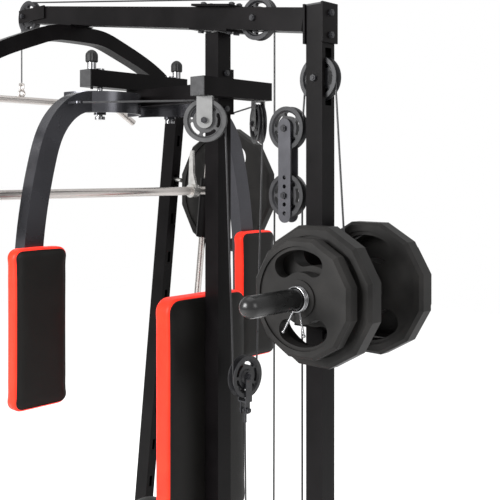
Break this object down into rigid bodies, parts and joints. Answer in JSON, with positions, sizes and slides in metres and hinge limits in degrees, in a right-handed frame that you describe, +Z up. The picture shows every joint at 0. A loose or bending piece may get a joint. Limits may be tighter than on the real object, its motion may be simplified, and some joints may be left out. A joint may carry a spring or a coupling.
{
  "type": "smith machine",
  "caption": "Home gym smith machine with slanted guide rods, a racked bar, a rear plate-loaded cable tower, pec-fly arms, a backrest and a seat.",
  "frame": {"origin": "on the floor, under the middle of the machine's box", "axes": "+Z up, the user faces -Y when seated, +X is along the bar to the user's left-hand plate side"},
  "size_m": [1.8498, 1.6553, 2.1643],
  "materials": {
    "black_steel": "satin powder coat",
    "grey_steel": "satin grey paint",
    "bright_steel": "bright plated",
    "dark_steel": "blackened steel bolts",
    "satin_chrome": "satin chrome",
    "pulley_plastic": "moulded nylon",
    "grey_plastic": "satin",
    "black_plastic": "textured",
    "rubber_plate": "matt rubber over iron",
    "rubber": "matt",
    "sleeve_paint": "satin dark grey",
    "cable": "coated steel cable",
    "upholstery": "black vinyl with a red-orange side band"
  },
  "bodies": {
    "frame": {"side_floor_rails": "black_steel", "centre_floor_frame": "black_steel", "slanted_uprights": "black_steel", "lock_pegs": "bright_steel", "guide_rods": "satin_chrome", "rod_brackets": "black_steel", "rubber_feet_and_bumpers": "rubber", "arch_tube": "black_steel", "joint_plates": "black_steel", "back_post": "black_steel", "top_boom": "black_steel", "frame_bolts": "dark_steel", "weight_post": "black_steel", "pulley_axles": "dark_steel", "pulley_cheeks": "black_steel", "crosstubes": "black_steel", "pivot_studs": "bright_steel", "tube_end_caps": "grey_plastic", "backrest_pad": "upholstery", "seat_frame": "black_steel", "seat_pad": "upholstery", "fixed_cables": "cable", "pec_drop_cables": "cable", "weight_cable": "cable", "block_cable_upper": "cable", "block_cable_lower": "cable", "pec_low_cable": "cable"},
    "tower_pulley": {"tower_pulley": "pulley_plastic"},
    "boom_pulley": {"boom_pulley": "pulley_plastic"},
    "front_pulley": {"front_pulley": "pulley_plastic"},
    "base_pulley_mid": {"base_pulley_mid": "pulley_plastic"},
    "base_pulley_rear": {"base_pulley_rear": "pulley_plastic"},
    "low_row_pulley": {"low_row_pulley": "pulley_plastic"},
    "block_pulley_upper": {"block_pulley_upper": "pulley_plastic"},
    "block_pulley_lower": {"block_pulley_lower": "pulley_plastic"},
    "swivel_pulley_left": {"swivel_pulley_left": "pulley_plastic"},
    "swivel_pulley_right": {"swivel_pulley_right": "pulley_plastic"},
    "pec_float_pulley": {"pec_float_pulley": "pulley_plastic"},
    "floating_block": {"block_link_plates": "grey_steel"},
    "weight_carriage": {"weight_sleeves": "sleeve_paint", "carriage_rollers": "black_plastic", "carriage_plates": "black_steel", "large_weight_plates": "rubber_plate", "small_weight_plates": "rubber_plate", "spring_clips": "bright_steel"},
    "swivel_left": {"swivel_fork_left": "grey_steel"},
    "swivel_right": {"swivel_fork_right": "grey_steel"},
    "pec_float": {"pec_float_fork": "bright_steel"},
    "pec_arm_left": {"pec_arm_left": "satin_chrome", "pec_pad_left": "upholstery"},
    "pec_arm_right": {"pec_arm_right": "satin_chrome", "pec_pad_right": "upholstery"},
    "pull_pin_left": {"pull_pin_left": "black_plastic"},
    "pull_pin_right": {"pull_pin_right": "black_plastic"},
    "smith_carriage": {"bearing_housings": "black_steel"},
    "smith_bar": {"smith_bar": "satin_chrome", "bar_sleeves": "sleeve_paint", "bar_weight_plates": "rubber_plate", "safety_hooks": "bright_steel"},
    "lat_bar": {"lat_bar": "satin_chrome"}
  },
  "joints": [
    {"name": "carriage_slide", "type": "slide", "parent": "frame", "child": "weight_carriage", "axis": [0, 0, 1], "range_m": [0, 0.28], "deforming": ["weight_cable"]},
    {"name": "block_slide", "type": "slide", "parent": "frame", "child": "floating_block", "axis": [0, 0, 1], "range_m": [-0.14, 0], "deforming": ["block_cable_upper", "block_cable_lower"]},
    {"name": "pec_left_swing", "type": "hinge", "parent": "frame", "child": "pec_arm_left", "pos_m": [0.139, -0.1146, 1.75], "axis": [0, 0, 1], "range_deg": [-40, 0]},
    {"name": "pec_right_swing", "type": "hinge", "parent": "frame", "child": "pec_arm_right", "pos_m": [-0.139, -0.1146, 1.75], "axis": [0, 0, 1], "range_deg": [0, 40]},
    {"name": "pec_float_slide", "type": "slide", "parent": "frame", "child": "pec_float", "axis": [0, 0, 1], "range_m": [0, 0.133], "deforming": ["pec_drop_cables", "pec_low_cable"]},
    {"name": "smith_slide", "type": "slide", "parent": "frame", "child": "smith_carriage", "axis": [0, 0.1191, 0.9929], "range_m": [-1.15, 0.14]},
    {"name": "smith_bar_turn", "type": "hinge", "parent": "smith_carriage", "child": "smith_bar", "pos_m": [0, -0.31906, 1.492], "axis": [1, 0, 0], "range_deg": [-60, 0]},
    {"name": "swivel_left_turn", "type": "hinge", "parent": "frame", "child": "swivel_left", "pos_m": [0.105, 0.2914, 1.696], "axis": [0, 0, 1], "range_deg": [-15, 15]},
    {"name": "swivel_right_turn", "type": "hinge", "parent": "frame", "child": "swivel_right", "pos_m": [-0.105, 0.2914, 1.696], "axis": [0, 0, 1], "range_deg": [-15, 15]},
    {"name": "pull_pin_left_lift", "type": "slide", "parent": "frame", "child": "pull_pin_left", "axis": [0, 0, 1], "range_m": [0, 0.012], "stiffness_N_per_m": 400},
    {"name": "pull_pin_right_lift", "type": "slide", "parent": "frame", "child": "pull_pin_right", "axis": [0, 0, 1], "range_m": [0, 0.012], "stiffness_N_per_m": 400},
    {"name": "lat_bar_swing", "type": "hinge", "parent": "frame", "child": "lat_bar", "pos_m": [0, -0.7476, 1.873], "axis": [1, 0, 0], "range_deg": [-30, 30]},
    {"name": "tower_pulley_spin", "type": "hinge", "parent": "frame", "child": "tower_pulley", "pos_m": [0, 0.5904, 1.792], "axis": [1, 0, 0], "continuous": true},
    {"name": "boom_pulley_spin", "type": "hinge", "parent": "frame", "child": "boom_pulley", "pos_m": [0, 0.3884, 1.966], "axis": [1, 0, 0], "continuous": true},
    {"name": "front_pulley_spin", "type": "hinge", "parent": "frame", "child": "front_pulley", "pos_m": [0, -0.6946, 2.10727], "axis": [1, 0, 0], "continuous": true},
    {"name": "base_pulley_mid_spin", "type": "hinge", "parent": "frame", "child": "base_pulley_mid", "pos_m": [0, 0.3914, 0.195], "axis": [1, 0, 0], "continuous": true},
    {"name": "base_pulley_rear_spin", "type": "hinge", "parent": "frame", "child": "base_pulley_rear", "pos_m": [0, 0.4874, 0.123], "axis": [1, 0, 0], "continuous": true},
    {"name": "low_row_pulley_spin", "type": "hinge", "parent": "frame", "child": "low_row_pulley", "pos_m": [0, -0.0946, 0.123], "axis": [1, 0, 0], "continuous": true},
    {"name": "block_pulley_upper_spin", "type": "hinge", "parent": "floating_block", "child": "block_pulley_upper", "pos_m": [0, 0.4874, 1.672], "axis": [1, 0, 0], "continuous": true},
    {"name": "block_pulley_lower_spin", "type": "hinge", "parent": "floating_block", "child": "block_pulley_lower", "pos_m": [0, 0.4874, 1.5], "axis": [1, 0, 0], "continuous": true},
    {"name": "swivel_pulley_left_spin", "type": "hinge", "parent": "swivel_left", "child": "swivel_pulley_left", "pos_m": [0.105, 0.2914, 1.696], "axis": [0.8261, 0.5635, 0], "continuous": true},
    {"name": "swivel_pulley_right_spin", "type": "hinge", "parent": "swivel_right", "child": "swivel_pulley_right", "pos_m": [-0.105, 0.2914, 1.696], "axis": [0.8261, -0.5635, 0], "continuous": true},
    {"name": "pec_float_pulley_spin", "type": "hinge", "parent": "pec_float", "child": "pec_float_pulley", "pos_m": [0, 0.3374, 1.01], "axis": [0, 1, 0], "continuous": true}
  ],
  "couplings": [
    {"joint": "block_slide", "follows": "carriage_slide", "ratio": -0.5},
    {"joint": "tower_pulley_spin", "follows": "carriage_slide", "rad_per_m": 21.739},
    {"joint": "block_pulley_upper_spin", "follows": "carriage_slide", "rad_per_m": -10.87},
    {"joint": "block_pulley_lower_spin", "follows": "carriage_slide", "rad_per_m": -10.87},
    {"joint": "pec_right_swing", "follows": "pec_left_swing", "ratio": -1},
    {"joint": "pec_float_slide", "follows": "pec_left_swing", "m_per_rad": -0.189},
    {"joint": "swivel_pulley_left_spin", "follows": "pec_left_swing", "ratio": -3.566},
    {"joint": "swivel_pulley_right_spin", "follows": "pec_left_swing", "ratio": -3.566}
  ]
}
